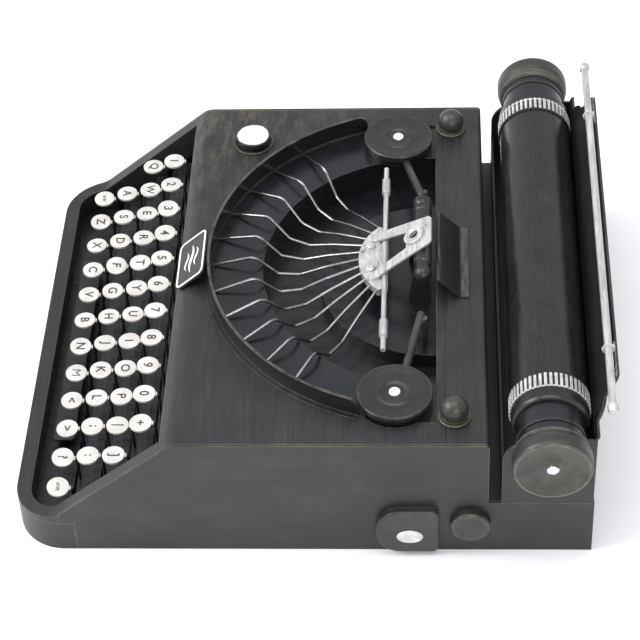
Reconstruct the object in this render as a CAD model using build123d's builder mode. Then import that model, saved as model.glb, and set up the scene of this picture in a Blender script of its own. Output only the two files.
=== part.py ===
from build123d import *
import os
from math import atan2, cos, degrees, hypot, radians, sin, tan

# Decorative tin model of a four-bank typewriter, millimetres.
# +Z up, -Y is the typist's side, +X is the typist's right hand.
# Origin: on the flat underside, on the centre line, at the middle of the base's length.

# ---------------------------------------------------------------- driving dimensions
W = 230.0                 # width over the two side panels
HW = W / 2
T = 1.2                   # sheet thickness
Y_FRONT, Y_REAR = -128.4, 128.4
R_CORNER = 22.0           # plan radius of the two front corners
Z_FRONT = 16.6            # height of the front panel
Y_SEAM = -100.4           # where the front panel butts against the side panels
Y_NOSE = -107.0           # front end of a side panel above the front panel
Z_LOW = 31.1              # top of the low rear base under the carriage
Z_DECK = 67.1             # top of the deck
Y_DECK_REAR = 82.6
Y_BEND = -53.7            # theoretical corner where the deck bends into the key slope
SLOPE = 40.04             # degrees, key slope
KEY_WIN_X = 108.0         # half width of the keyboard window
KEY_WIN_FRONT = -121.6

YC = 57.3                 # centre of the round type basket
R_BAND = 101.0            # inside radius of the guard band
Z_BAND = 76.6
R_LEDGE = 77.0
R_PLAT = 50.5
Z_LEDGE, Z_FLOOR, Z_PLAT = 65.9, 50.0, 57.5
Y_WELL = 60.2             # straight rear edge of the basket opening

SPOOL_X, SPOOL_Y, SPOOL_R, Z_SPOOL = 86.8, 42.1, 16.6, 71.9

PLATEN_Y, PLATEN_Z, PLATEN_R = 108.45, 69.0, 16.9
CAR_Y0, CAR_Y1 = 88.1, 127.9
KNOB_X0, KNOB_X1, KNOB_R = 119.1, 131.1, 17.1

PITCH = 17.9              # key pitch along X
KEY_R, KEY_T = 5.0, 1.0
# row: number of keys, centre y, top z
ROWS = [(11, -69.5, 55.0), (12, -81.7, 44.0), (11, -95.1, 33.9), (12, -108.8, 22.9)]
FULCRUM_Y, FULCRUM_Z, FULCRUM_R = 10.0, 22.0, 2.0
ARM_X = [100.0, 92.0, 84.0, 76.0]
SOLDER = 0.02             # joint line between a row bar and its stems and arms

os.makedirs("parts", exist_ok=True)
PIECES = []


def z_slope(y):
    return Z_DECK - (Y_BEND - y) * tan(radians(SLOPE))


def z_bed(y):
    return z_slope(y) - 16.4


def keep(block, name):
    block.part.label = name
    export_step(block.part, f"parts/{name}.step")
    PIECES.append((name, block.part))


def near(items, *p):
    return items.sort_by_distance(p)[0]


# ---------------------------------------------------------------- side panels
with BuildSketch() as side_sk:
    with BuildLine():
        Polyline((Y_SEAM, 0), (Y_REAR, 0), (Y_REAR, Z_LOW), (Y_DECK_REAR, Z_LOW),
                 (Y_DECK_REAR, Z_DECK), (Y_BEND, Z_DECK), (Y_NOSE, z_slope(Y_NOSE)),
                 (Y_NOSE, Z_FRONT + 0.2), (Y_SEAM, Z_FRONT + 0.2), close=True)
    make_face()
    fillet(near(vertices(), Y_BEND, Z_DECK), 9)
    fillet(near(vertices(), Y_DECK_REAR, Z_DECK), 2)


with BuildPart() as side_panel_left:
    with BuildSketch(Plane.YZ.offset(-HW)):
        add(side_sk.sketch)
    extrude(amount=T)
keep(side_panel_left, "side_panel_left")

BUTTON_Y, BUTTON_Z, BUTTON_R = 74.8, 18.6, 8.7
with BuildPart() as side_panel_right:
    with BuildSketch(Plane.YZ.offset(HW - T)):
        add(side_sk.sketch)
        with Locations((BUTTON_Y, BUTTON_Z)):
            Circle(BUTTON_R + 0.3, mode=Mode.SUBTRACT)
    extrude(amount=T)
keep(side_panel_right, "side_panel_right")

# ---------------------------------------------------------------- deck, one bent sheet with the basket opening
TOPB_X, TOPB_Y = -87.8, -29.1
Y_LIP = -59.0
with BuildPart() as deck_panel:
    with BuildSketch(Plane.YZ.offset(-(HW - T))):
        with BuildLine():
            Polyline((Y_DECK_REAR, Z_LOW), (Y_DECK_REAR, Z_DECK), (Y_BEND, Z_DECK),
                     (Y_LIP, z_slope(Y_LIP)), (Y_LIP + 0.772, z_slope(Y_LIP) - 0.919),
                     (Y_BEND + 0.437, Z_DECK - T), (Y_DECK_REAR - T, Z_DECK - T),
                     (Y_DECK_REAR - T, Z_LOW), close=True)
        make_face()
        fillet(near(vertices(), Y_BEND, Z_DECK), 9)
        fillet(near(vertices(), Y_BEND + 0.437, Z_DECK - T), 7.8)
        fillet(near(vertices(), Y_DECK_REAR, Z_DECK), 2)
        fillet(near(vertices(), Y_DECK_REAR - T, Z_DECK - T), 0.8)
    extrude(amount=2 * (HW - T))
    with BuildSketch(Plane.XY.offset(Z_DECK + 2)):
        with Locations((0, YC)):
            Circle(R_BAND)
        with Locations((0, Y_WELL + 100)):
            Rectangle(300, 200, mode=Mode.SUBTRACT)
        with Locations((SPOOL_X, SPOOL_Y), (-SPOOL_X, SPOOL_Y)):
            Circle(SPOOL_R + 0.6)
    extrude(amount=-6, mode=Mode.SUBTRACT)
    with BuildSketch(Plane.XY.offset(Z_DECK + 2)):
        with Locations((TOPB_X, TOPB_Y)):
            Circle(3.4)
    extrude(amount=-6, mode=Mode.SUBTRACT)
keep(deck_panel, "deck_panel")


# ---------------------------------------------------------------- keyboard frame: rim, rounded skirt and inner lip
def top_line(drop):
    # top surface of the rim in the YZ plane, lowered by drop
    return [(Y_LIP - 0.1, z_slope(Y_LIP - 0.1) - drop), (-109.6, z_slope(-109.6) - drop),
            (-118.0, 19.4 - drop), (-131.0, 18.4 - drop)]


def rim_plan(grow=0.0):
    # outer plan outline of the rim, wider where it rounds the front corners
    with Locations((0, (Y_FRONT - 40) / 2)):
        Rectangle(2 * (HW + grow), -40 - Y_FRONT + 2 * grow)
    fillet(vertices().group_by(Axis.Y)[0], R_CORNER + grow)


def window_plan(grow=0.0):
    with Locations((0, (KEY_WIN_FRONT - 30) / 2)):
        Rectangle(2 * (KEY_WIN_X + grow), -30 - KEY_WIN_FRONT + 2 * grow)
    fillet(vertices().group_by(Axis.Y)[0], 13 + grow)


with BuildSketch() as window_sk:
    window_plan()
with BuildSketch() as window_out_sk:
    window_plan(1.0)
with BuildSketch() as rim_sk:
    rim_plan()
with BuildSketch() as rim_in_sk:
    rim_plan(-T)

with BuildPart() as frame_skirt:
    with BuildSketch(Plane.XY.offset(Z_FRONT + 0.2)):
        add(rim_sk.sketch)
        add(rim_in_sk.sketch, mode=Mode.SUBTRACT)
        with Locations((0, Y_NOSE + 100)):
            Rectangle(300, 200, mode=Mode.SUBTRACT)
    extrude(amount=8)
    with BuildSketch(Plane.YZ.offset(-130)):
        with BuildLine():
            Polyline(*(top_line(0.6) + [(-140, 17), (-140, 60), (-60, 90)]), close=True)
        make_face()
    extrude(amount=260, mode=Mode.SUBTRACT)

with BuildPart() as frame_lip:
    with BuildSketch():
        add(window_out_sk.sketch)
        add(window_sk.sketch, mode=Mode.SUBTRACT)
        with Locations((0, Y_LIP + 49.9)):
            Rectangle(300, 100, mode=Mode.SUBTRACT)
    extrude(amount=70)
    with BuildSketch(Plane.YZ.offset(-130)):
        with BuildLine():
            a, b = top_line(0.6), top_line(16.2)
            Polyline(*(a[:2] + [(-118.0, 18.8), (-131, 17.8), (-131, 3.0), (-112.0, 3.0)] + b[:1]), close=True)
        make_face()
    extrude(amount=260, mode=Mode.INTERSECT)

with BuildPart() as keyboard_frame:
    with BuildSketch(Plane.YZ.offset(-130)):
        with BuildLine():
            a, b = top_line(0), top_line(1.5)
            Polyline(*(a + b[::-1]), close=True)
        make_face()
        fillet(near(vertices(), -109.6, z_slope(-109.6)), 10)
        fillet(near(vertices(), -109.6, z_slope(-109.6) - 1.5), 10)
    extrude(amount=260)
    with BuildSketch():
        add(rim_sk.sketch)
        add(window_sk.sketch, mode=Mode.SUBTRACT)
        with Locations((HW, Y_NOSE + 50), (-HW, Y_NOSE + 50)):
            Rectangle(2 * T + 0.1, 100, mode=Mode.SUBTRACT)
    extrude(amount=90, mode=Mode.INTERSECT)
    add(frame_skirt.part)
    add(frame_lip.part)
keep(keyboard_frame, "keyboard_frame")

# ---------------------------------------------------------------- key bed: stepped strips with a slot for each row of stems
FOOT_Y = [y + 6.4 for _, y, _ in ROWS]
FOOT_Z = [z - 12.5 for _, _, z in ROWS]
BX = KEY_WIN_X
with BuildPart() as key_bed:
    edges_y = []
    tops = [(-58.6, FOOT_Y[0] + 2.5)]
    for i in range(3):
        tops.append((FOOT_Y[i] - 2.5, FOOT_Y[i + 1] + 2.5))
    # rear strip and the rear wall of the key well
    with BuildSketch(Plane.YZ.offset(-BX)):
        with BuildLine():
            y0, y1 = -59.4, FOOT_Y[0] + 2.5
            zb = z_bed(y1)
            Polyline((y1, zb), (y0 - 0.2, zb), (y0 - 0.2, z_slope(y0) - 1.6), (y0 + 0.8, z_slope(y0 + 0.8) - 1.6),
                     (y0 + 0.8, zb - 1), (y1, zb - 1), close=True)
        make_face()
    extrude(amount=2 * BX)
    # three stepped strips between the rows
    for y1, y0 in tops[1:]:
        ym = (y0 + y1) / 2
        za, zc = z_bed(y1 - 1.2), z_bed(ym - 1.2)
        with BuildSketch(Plane.YZ.offset(-BX)):
            with BuildLine():
                Polyline((y1, za), (ym, za), (ym, zc), (y0, zc), (y0, zc - 1), (ym + 1, zc - 1),
                         (ym + 1, za - 1), (y1, za - 1), close=True)
            make_face()
        extrude(amount=2 * BX)
    # front floor strip under the space bar
    with BuildSketch(Plane.XY.offset(6.5)):
        with Locations((0, (KEY_WIN_FRONT + FOOT_Y[3] - 2.5) / 2)):
            Rectangle(2 * BX, FOOT_Y[3] - 2.5 - KEY_WIN_FRONT)
        fillet(vertices().group_by(Axis.Y)[0], 13)
        with Locations((45, -111.9), (-45, -111.9)):
            Circle(2.2, mode=Mode.SUBTRACT)
    extrude(amount=1)
keep(key_bed, "key_bed")

# ---------------------------------------------------------------- base plate, front, rear and low rear cover
with BuildPart() as front_panel:
    with BuildSketch():
        add(rim_sk.sketch)
        add(rim_in_sk.sketch, mode=Mode.SUBTRACT)
        with Locations((0, Y_SEAM + 100)):
            Rectangle(300, 200, mode=Mode.SUBTRACT)
    extrude(amount=Z_FRONT)
keep(front_panel, "front_panel")

with BuildPart() as base_plate:
    with BuildSketch():
        with Locations((0, 0)):
            Rectangle(2 * (HW - T), Y_REAR - Y_FRONT - 2 * T)
        fillet(vertices().group_by(Axis.Y)[0], R_CORNER - T)
    extrude(amount=1.0)
keep(base_plate, "base_plate")

with BuildPart() as rear_panel:
    with BuildSketch(Plane.XY):
        with Locations((0, Y_REAR - T / 2)):
            Rectangle(2 * (HW - T), T)
    extrude(amount=Z_LOW)
    fillet(edges().filter_by(Axis.X).group_by(Axis.Z)[-1].group_by(Axis.Y)[-1], 0.8)
keep(rear_panel, "rear_panel")

with BuildPart() as rear_base_cover:
    with BuildSketch(Plane.XY.offset(Z_LOW - T)):
        with Locations((0, (Y_DECK_REAR + Y_REAR - T) / 2)):
            Rectangle(2 * (HW - T), Y_REAR - T - Y_DECK_REAR)
    extrude(amount=T)
keep(rear_base_cover, "rear_base_cover")

RAIL_Y = [98.0, 118.0]
RAIL_L = 147.0            # short enough for the end plates to stay outside the rails over the travel
SHOE_X = 23.0
with BuildPart() as carriage_rails:
    with BuildSketch(Plane.XY.offset(Z_LOW)):
        with Locations((0, RAIL_Y[0]), (0, RAIL_Y[1])):
            Rectangle(RAIL_L, 4)
    extrude(amount=2.0)
    chamfer(edges().filter_by(Axis.X).group_by(Axis.Z)[-1], 0.4)
keep(carriage_rails, "carriage_rails")

# ---------------------------------------------------------------- type basket: round platform, well floor, ledge with its wall, rear wall
with BuildPart() as basket_platform:
    with BuildSketch(Plane.XZ.offset(-YC)):
        with BuildLine():
            Polyline((0, Z_PLAT), (R_PLAT, Z_PLAT), (R_PLAT, Z_FLOOR), (R_PLAT - T, Z_FLOOR),
                     (R_PLAT - T, Z_PLAT - T), (0, Z_PLAT - T), close=True)
        make_face()
    revolve(axis=Axis((0, YC, 0), (0, 0, 1)), revolution_arc=360)
    with BuildSketch(Plane.XY.offset(40)):
        with Locations((0, Y_WELL + 100)):
            Rectangle(300, 200)
    extrude(amount=40, mode=Mode.SUBTRACT)
keep(basket_platform, "basket_platform")

with BuildPart() as basket_floor:
    with BuildSketch(Plane.XY.offset(Z_FLOOR - T)):
        with Locations((0, YC)):
            Circle(R_LEDGE)
            Circle(R_PLAT - T, mode=Mode.SUBTRACT)
        with Locations((0, Y_WELL + 100)):
            Rectangle(300, 200, mode=Mode.SUBTRACT)
    extrude(amount=T)
keep(basket_floor, "basket_floor")

with BuildPart() as basket_ledge:
    with BuildSketch(Plane.XZ.offset(-YC)):
        with BuildLine():
            Polyline((R_LEDGE, Z_LEDGE), (106, Z_LEDGE), (106, Z_LEDGE - T), (R_LEDGE + T, Z_LEDGE - T),
                     (R_LEDGE + T, Z_FLOOR - T), (R_LEDGE, Z_FLOOR - T), close=True)
        make_face()
    revolve(axis=Axis((0, YC, 0), (0, 0, 1)), revolution_arc=360)
    with BuildSketch(Plane.XY.offset(40)):
        with Locations((0, Y_WELL + 100)):
            Rectangle(300, 200)
    extrude(amount=40, mode=Mode.SUBTRACT)
keep(basket_ledge, "basket_ledge")

with BuildPart() as basket_rear_wall:
    with BuildSketch(Plane.XZ.offset(-Y_WELL)):
        with Locations((0, (Z_FLOOR - T + Z_LEDGE) / 2)):
            Rectangle(2 * 106, Z_LEDGE - Z_FLOOR + T)
    extrude(amount=-T)
keep(basket_rear_wall, "basket_rear_wall")

# ---------------------------------------------------------------- guard band standing round the front of the basket
BAND_A0, BAND_A1 = 180 + 17.5, 360 - 17.5
with BuildPart() as guard_band:
    with BuildSketch(Plane.XY.offset(Z_DECK)):
        with Locations((0, YC)):
            Circle(R_BAND + T)
            Circle(R_BAND, mode=Mode.SUBTRACT)
        with BuildLine():
            Polyline((0, YC), (200 * cos(radians(BAND_A1)), YC + 200 * sin(radians(BAND_A1))), (200, 300),
                     (-200, 300), (200 * cos(radians(BAND_A0)), YC + 200 * sin(radians(BAND_A0))), close=True)
        make_face(mode=Mode.SUBTRACT)
    extrude(amount=Z_BAND - Z_DECK)
    ends = edges().filter_by(lambda e: e.length < T + 0.3 and abs(e.center().Z - Z_BAND) < 0.01)
    fillet(ends, 5)
    with BuildSketch(Plane.XY.offset(Z_DECK)):
        with Locations((0, YC)):
            Circle(R_BAND + 3.8)
            Circle(R_BAND + T - 0.05, mode=Mode.SUBTRACT)
        with BuildLine():
            Polyline((0, YC), (200 * cos(radians(BAND_A1)), YC + 200 * sin(radians(BAND_A1))), (200, 300),
                     (-200, 300), (200 * cos(radians(BAND_A0)), YC + 200 * sin(radians(BAND_A0))), close=True)
        make_face(mode=Mode.SUBTRACT)
    extrude(amount=0.8)
keep(guard_band, "guard_band")

# ---------------------------------------------------------------- type segment, its stand, typebar wires
SEG_TOP = 70.6
with BuildPart() as type_segment:
    with BuildSketch(Plane.XY.offset(66.6)):
        with BuildLine():
            ThreePointArc((-21.5, 34.0), (0, 24.6), (21.5, 34.0))
            Polyline((21.5, 34.0), (19.0, 38.2), (-19.0, 38.2), (-21.5, 34.0))
        make_face()
    extrude(amount=SEG_TOP - 66.6)
    with BuildSketch(Plane.XY.offset(SEG_TOP)):
        with Locations((-7.6, 30.2), (7.6, 30.2)):
            Circle(2.2)
    extrude(amount=1.4)
    fillet(edges().filter_by(GeomType.CIRCLE).group_by(Axis.Z)[-1], 1.0)
keep(type_segment, "type_segment")

with BuildPart() as segment_stand:
    with BuildSketch(Plane.XY.offset(Z_PLAT)):
        with Locations((0, 32.6)):
            Rectangle(26, 8)
        fillet(vertices(), 1.5)
    extrude(amount=66.6 - Z_PLAT)
keep(segment_stand, "segment_stand")

WIRE_R = 0.75
WIRE_PTS = [(100.0, 66.65), (81.0, 71.2), (70.5, 60.6), (60.0, 59.9), (48.0, 64.4), (32.2, 68.9)]
with BuildPart() as typebar_wires:
    for i in range(11):
        ao = radians(37.7 + 10.46 * i)
        ai = radians(90 + (degrees(ao) - 90) * 0.80 - 1.5)
        # outer end on the ledge, inner end in the segment's front edge; plan direction runs from outer to inner
        ox, oy = -100.0 * cos(ao), YC - 100.0 * sin(ao)
        ix, iy = -32.2 * cos(ai), YC - 32.2 * sin(ai)
        # inner ends follow the segment's arc
        L = hypot(ix - ox, iy - oy)
        d = Vector((ix - ox) / L, (iy - oy) / L, 0)
        pl = Plane(origin=(ox, oy, 0), x_dir=d, z_dir=Vector(d.Y, -d.X, 0))
        k = L / (100.0 - 32.2)
        pts = [((100.0 - r) * k, z) for r, z in WIRE_PTS]
        with BuildLine(pl) as path:
            FilletPolyline(*pts, radius=(5, 4, 5, 9))
        with BuildSketch(Plane(origin=path.line @ 0, z_dir=path.line % 0)):
            Circle(WIRE_R)
        sweep(path=path.line)
keep(typebar_wires, "typebar_wires")

# ---------------------------------------------------------------- ribbon vibrator (A-frame), its ring, ribbon rod
TILT = 33.3
vib = Plane(origin=(0, 32.7, 72.3), x_dir=(1, 0, 0), z_dir=(0, -sin(radians(TILT)), cos(radians(TILT))))
with BuildPart() as ribbon_vibrator:
    with BuildSketch(vib):
        with BuildLine():
            Polyline((-15.2, -1.6), (15.2, -1.6), (9.2, 28.5), (7.6, 30.0), (-7.6, 30.0), (-9.2, 28.5), close=True)
        make_face()
        with BuildLine():
            Polyline((-10.2, -3), (10.2, -3), (10.2, 0), (5.2, 16.5), (-5.2, 16.5), (-10.2, 0), close=True)
        make_face(mode=Mode.SUBTRACT)
        with Locations((0, 21.2)):
            Circle(2.3, mode=Mode.SUBTRACT)
    extrude(amount=-1.0)
    # two feet soldered to the segment's top face
    with BuildSketch(Plane.XY.offset(SEG_TOP)):
        with Locations((-12.6, 32.6), (12.6, 32.6)):
            Rectangle(4.4, 3.0)
    extrude(amount=1.3)
keep(ribbon_vibrator, "ribbon_vibrator")

with BuildPart() as vibrator_ring:
    with BuildSketch(vib):
        with Locations((0, 21.2)):
            Circle(5.3)
            Circle(2.3, mode=Mode.SUBTRACT)
    extrude(amount=1.3)
    fillet(edges().filter_by(GeomType.CIRCLE).sort_by(Axis.Z)[-2:], 0.4)
keep(vibrator_ring, "vibrator_ring")

ROD_Y, ROD_Z = 36.7, SEG_TOP + 1.2
with BuildPart() as ribbon_rod:
    with BuildSketch(Plane.YZ.offset(-61.7)):
        with Locations((ROD_Y, ROD_Z)):
            Circle(1.2)
    extrude(amount=2 * 61.7)
    with BuildSketch(Plane.YZ.offset(43.2)):
        with Locations((ROD_Y, ROD_Z)):
            Circle(1.95)
    extrude(amount=10)
    with BuildSketch(Plane.YZ.offset(-53.2)):
        with Locations((ROD_Y, ROD_Z)):
            Circle(1.95)
    extrude(amount=10)
keep(ribbon_rod, "ribbon_rod")

# ---------------------------------------------------------------- cross shaft under the vibrator, with its bracket
SH_Y, SH_Z = 54.1, 80.1
BALL_DX = (4.1 ** 2 - 3.2 ** 2) ** 0.5      # ball end: centre to the end of the neck
with BuildPart() as cross_shaft:
    with BuildSketch(Plane(origin=(0, SH_Y, SH_Z), x_dir=(1, 0, 0), z_dir=(0, -1, 0))):
        with BuildLine():
            Polyline((-29.0, 0), (-29.0, 3.2), (-27.8, 4.4), (-24.6, 4.4), (-23.6, 3.7), (-22.6, 4.4), (-20.0, 4.4),
                     (-19.4, 4.1), (15.0, 4.1), (15.6, 3.2), (17.0, 3.2))
            Line((17.0, 3.2), (21.1 - BALL_DX, 3.2))
            ThreePointArc((21.1 - BALL_DX, 3.2), (21.1, 4.1), (25.2, 0))
            Line((25.2, 0), (-29.0, 0))
        make_face()
    revolve(axis=Axis((0, SH_Y, SH_Z), (1, 0, 0)))
keep(cross_shaft, "cross_shaft")

with BuildPart() as cross_shaft_bracket:
    for x in (-13.0, 11.5):
        with BuildSketch(Plane.YZ.offset(x)):
            with BuildLine():
                Polyline((47.5, Z_PLAT), (58.0, Z_PLAT), (57.4, 78.6), (50.8, 78.6), close=True)
            make_face()
            with Locations((SH_Y, SH_Z)):
                Circle(4.1, mode=Mode.SUBTRACT)
        extrude(amount=1.5)
keep(cross_shaft_bracket, "cross_shaft_bracket")

# ---------------------------------------------------------------- ribbon spools: fixed cup and pin, turning spool, arms
with BuildPart() as spool_cups:
    with Locations((SPOOL_X, SPOOL_Y, 0), (-SPOOL_X, SPOOL_Y, 0)):
        with Locations((0, 0, Z_LEDGE)):
            Cylinder(16.2, 3.5, align=(Align.CENTER, Align.CENTER, Align.MIN))
        with Locations((0, 0, Z_LEDGE + 1.0)):
            Cylinder(15.2, 3.0, align=(Align.CENTER, Align.CENTER, Align.MIN), mode=Mode.SUBTRACT)
        with Locations((0, 0, Z_LEDGE + 1.0)):
            Cylinder(1.5, 3.8, align=(Align.CENTER, Align.CENTER, Align.MIN))
keep(spool_cups, "spool_cups")


def spool(cx):
    with BuildPart() as b:
        with BuildSketch(Plane(origin=(cx, SPOOL_Y, 0), x_dir=(1, 0, 0), z_dir=(0, -1, 0))):
            with BuildLine():
                Polyline((0, 70.9), (1.55, 70.9), (1.55, 67.2), (6.5, 67.2), (6.5, 69.85), (SPOOL_R - 0.5, 69.85),
                         (SPOOL_R, 70.3), (SPOOL_R, 71.5), (SPOOL_R - 0.4, Z_SPOOL), (SPOOL_R - 1.6, Z_SPOOL),
                         (SPOOL_R - 5.0, 71.35), (8.4, 71.2), (7.2, 71.65), (6.4, 71.65), (5.0, 71.1),
                         (2.6, 71.1), (2.4, 71.9), (1.9, 72.2), (0, 72.3), close=True)
            make_face()
        revolve(axis=Axis((cx, SPOOL_Y, 0), (0, 0, 1)))
    return b


spool_left = spool(-SPOOL_X)
keep(spool_left, "spool_left")
spool_right = spool(SPOOL_X)
keep(spool_right, "spool_right")

with BuildPart() as spool_arms:
    for s in (-1, 1):
        p0, p1 = Vector(s * 72.0, 46.0, 67.25), Vector(s * 41.0, 53.3, 73.3)
        v = p1 - p0
        with BuildSketch(Plane(origin=p0, z_dir=v)):
            Circle(1.9)
        extrude(amount=v.length)
        with Locations(p1):
            Sphere(1.9)
        with BuildSketch(Plane.XY.offset(Z_PLAT)):
            with Locations((s * 43.0, 54.6)):
                Circle(1.6)
        extrude(amount=73.6 - Z_PLAT)
    with Locations((SPOOL_X, SPOOL_Y, 60), (-SPOOL_X, SPOOL_Y, 60)):
        Cylinder(16.2, 40, mode=Mode.SUBTRACT)
keep(spool_arms, "spool_arms")

# ---------------------------------------------------------------- dome nuts, paper shield, name plate on the deck
DOME_X = (6.2 ** 2 - (71.9 - Z_DECK - 1.3) ** 2) ** 0.5
with BuildPart() as dome_nuts:
    for s in (-1, 1):
        cx, cy = s * 97.8, 67.8
        with BuildSketch(Plane(origin=(cx, cy, 0), x_dir=(1, 0, 0), z_dir=(0, -1, 0))):
            with BuildLine():
                Polyline((0, Z_DECK), (6.9, Z_DECK), (7.1, Z_DECK + 0.3), (7.1, Z_DECK + 1.0), (6.8, Z_DECK + 1.3),
                         (DOME_X, Z_DECK + 1.3))
                ThreePointArc((DOME_X, Z_DECK + 1.3), (6.2, 71.9), (0, 78.1))
                Line((0, 78.1), (0, Z_DECK))
            make_face()
        revolve(axis=Axis((cx, cy, 0), (0, 0, 1)))
keep(dome_nuts, "dome_nuts")

with BuildPart() as paper_shield:
    with BuildSketch(Plane.YZ.offset(-23.4)):
        with BuildLine():
            Polyline((75.0, Z_DECK), (75.0, Z_DECK + 1.0), (71.4, Z_DECK + 1.0), (61.0, 78.9), (60.3, 78.1),
                     (70.9, Z_DECK), close=True)
        make_face()
    extrude(amount=46.8)
keep(paper_shield, "paper_shield")

NP_C = Vector(0, -52.0, 69.5)
NP_A = radians(42)        # lean of the name plate
name_pl = Plane(origin=NP_C, x_dir=(1, 0, 0), z_dir=(0, -sin(NP_A), cos(NP_A)))
with BuildPart() as name_plate:
    with BuildSketch(name_pl):
        RectangleRounded(30.2, 18.0, 3.4)
    extrude(amount=1.2)
    chamfer(edges().group_by(SortBy.LENGTH)[-1], 0.2)
keep(name_plate, "name_plate")

with BuildPart() as name_plate_bracket:
    with BuildSketch(Plane.YZ.offset(-9.5)):
        with BuildLine():
            Polyline((NP_C.Y - 5 * cos(NP_A), NP_C.Z - 5 * sin(NP_A)), (NP_C.Y + 4.5 * cos(NP_A), NP_C.Z + 4.5 * sin(NP_A)),
                     (NP_C.Y + 4.5 * cos(NP_A), 66.5), (-57.5, 60.0), close=True)
        make_face()
    extrude(amount=19)
    with BuildSketch(Plane.YZ.offset(-40)):
        with BuildLine():
            Polyline((-30, Z_DECK), (Y_BEND, Z_DECK), (-70, z_slope(-70)), (-70, 0), (-30, 0), close=True)
        make_face()
        fillet(near(vertices(), Y_BEND, Z_DECK), 9)
    extrude(amount=80, mode=Mode.SUBTRACT)
keep(name_plate_bracket, "name_plate_bracket")

# ---------------------------------------------------------------- round push knob on the deck and its collar
with BuildPart() as top_knob_collar:
    with Locations((TOPB_X, TOPB_Y, Z_DECK)):
        Cylinder(9.8, 1.3, align=(Align.CENTER, Align.CENTER, Align.MIN))
        Cylinder(8.65, 1.3, align=(Align.CENTER, Align.CENTER, Align.MIN), mode=Mode.SUBTRACT)
    fillet(edges().filter_by(GeomType.CIRCLE).group_by(Axis.Z)[-1], 0.4)
keep(top_knob_collar, "top_knob_collar")

with BuildPart() as top_knob:
    with BuildSketch(Plane(origin=(TOPB_X, TOPB_Y, 0), x_dir=(1, 0, 0), z_dir=(0, -1, 0))):
        with BuildLine():
            Polyline((0, 60.4), (3.0, 60.4), (3.0, 64.4), (5.0, 64.4), (5.0, 65.6), (3.0, 65.6), (3.0, 69.5),
                     (8.0, 69.5), (8.3, 69.8), (8.3, 71.9), (7.9, 72.4), (0, 72.5), close=True)
        make_face()
    revolve(axis=Axis((TOPB_X, TOPB_Y, 0), (0, 0, 1)))
keep(top_knob, "top_knob")

# ---------------------------------------------------------------- right side: latch plate, its silver boss, push button
with BuildPart() as side_latch:
    with BuildSketch(Plane.YZ.offset(HW)):
        with Locations(((33.4 + 60.9) / 2, 15.6)):
            Rectangle(27.5, 26.2)
        fillet(vertices().group_by(Axis.X)[0], 11)
        fillet(vertices().group_by(Axis.X)[-1], 3)
    extrude(amount=4)
    fillet(edges().group_by(Axis.X)[-1], 1.2)
keep(side_latch, "side_latch")

with BuildPart() as latch_boss:
    with BuildSketch(Plane.YZ.offset(HW + 4)):
        with Locations((48.3, 13.4)):
            Ellipse(5.8, 3.9)
    extrude(amount=0.6)
    fillet(edges().group_by(Axis.X)[-1], 0.4)
keep(latch_boss, "latch_boss")

with BuildPart() as side_button:
    with BuildSketch(Plane(origin=(0, BUTTON_Y, BUTTON_Z), x_dir=(1, 0, 0), z_dir=(0, -1, 0))):
        with BuildLine():
            Polyline((112.2, 0), (112.2, 10.0), (113.4, 10.0), (113.4, BUTTON_R), (118.3, BUTTON_R),
                     (119.0, BUTTON_R - 0.7), (119.0, 7.0), (118.6, 6.4), (118.5, 0), close=True)
        make_face()
    revolve(axis=Axis((0, BUTTON_Y, BUTTON_Z), (1, 0, 0)))
keep(side_button, "side_button")

# ---------------------------------------------------------------- carriage: channel, shoes, end plates, paper table, rod
with BuildPart() as carriage_channel:
    with BuildSketch(Plane.YZ.offset(-(HW - T))):
        with BuildLine():
            Polyline((CAR_Y0, 34.0), (CAR_Y0, 48.0), (CAR_Y0 + T, 48.0), (CAR_Y0 + T, 34.0 + T),
                     (CAR_Y1 - T, 34.0 + T), (CAR_Y1 - T, 70.6), (CAR_Y1, 70.6), (CAR_Y1, 34.0), close=True)
        make_face()
    extrude(amount=2 * (HW - T))
keep(carriage_channel, "carriage_channel")

with BuildPart() as carriage_shoes:
    with BuildSketch(Plane.XY.offset(31.5)):
        with Locations((SHOE_X, RAIL_Y[0]), (-SHOE_X, RAIL_Y[0]), (SHOE_X, RAIL_Y[1]), (-SHOE_X, RAIL_Y[1])):
            Rectangle(18, 9)
    extrude(amount=2.5)
    with BuildSketch(Plane.XY.offset(31.0)):
        with Locations((0, RAIL_Y[0]), (0, RAIL_Y[1])):
            Rectangle(226, 4.6)
    extrude(amount=2.4, mode=Mode.SUBTRACT)
keep(carriage_shoes, "carriage_shoes")


def end_plate(x0):
    with BuildPart() as b:
        with BuildSketch(Plane.YZ.offset(x0)):
            with BuildLine():
                Polyline((CAR_Y0, 31.5), (CAR_Y0, 69.0), (CAR_Y1, 69.0), (CAR_Y1, 31.5), close=True)
            make_face()
            fillet(near(vertices(), CAR_Y0, 69.0), 11)
            with Locations(((PLATEN_Y + 12 + CAR_Y1) / 2, 66.0)):
                Rectangle(CAR_Y1 - PLATEN_Y - 12, 9.2)
            with Locations((PLATEN_Y, PLATEN_Z)):
                Circle(15.0)
                Circle(4.06, mode=Mode.SUBTRACT)
        extrude(amount=T)
    return b


end_plate_left = end_plate(-HW)
keep(end_plate_left, "end_plate_left")
end_plate_right = end_plate(HW - T)
keep(end_plate_right, "end_plate_right")

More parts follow.
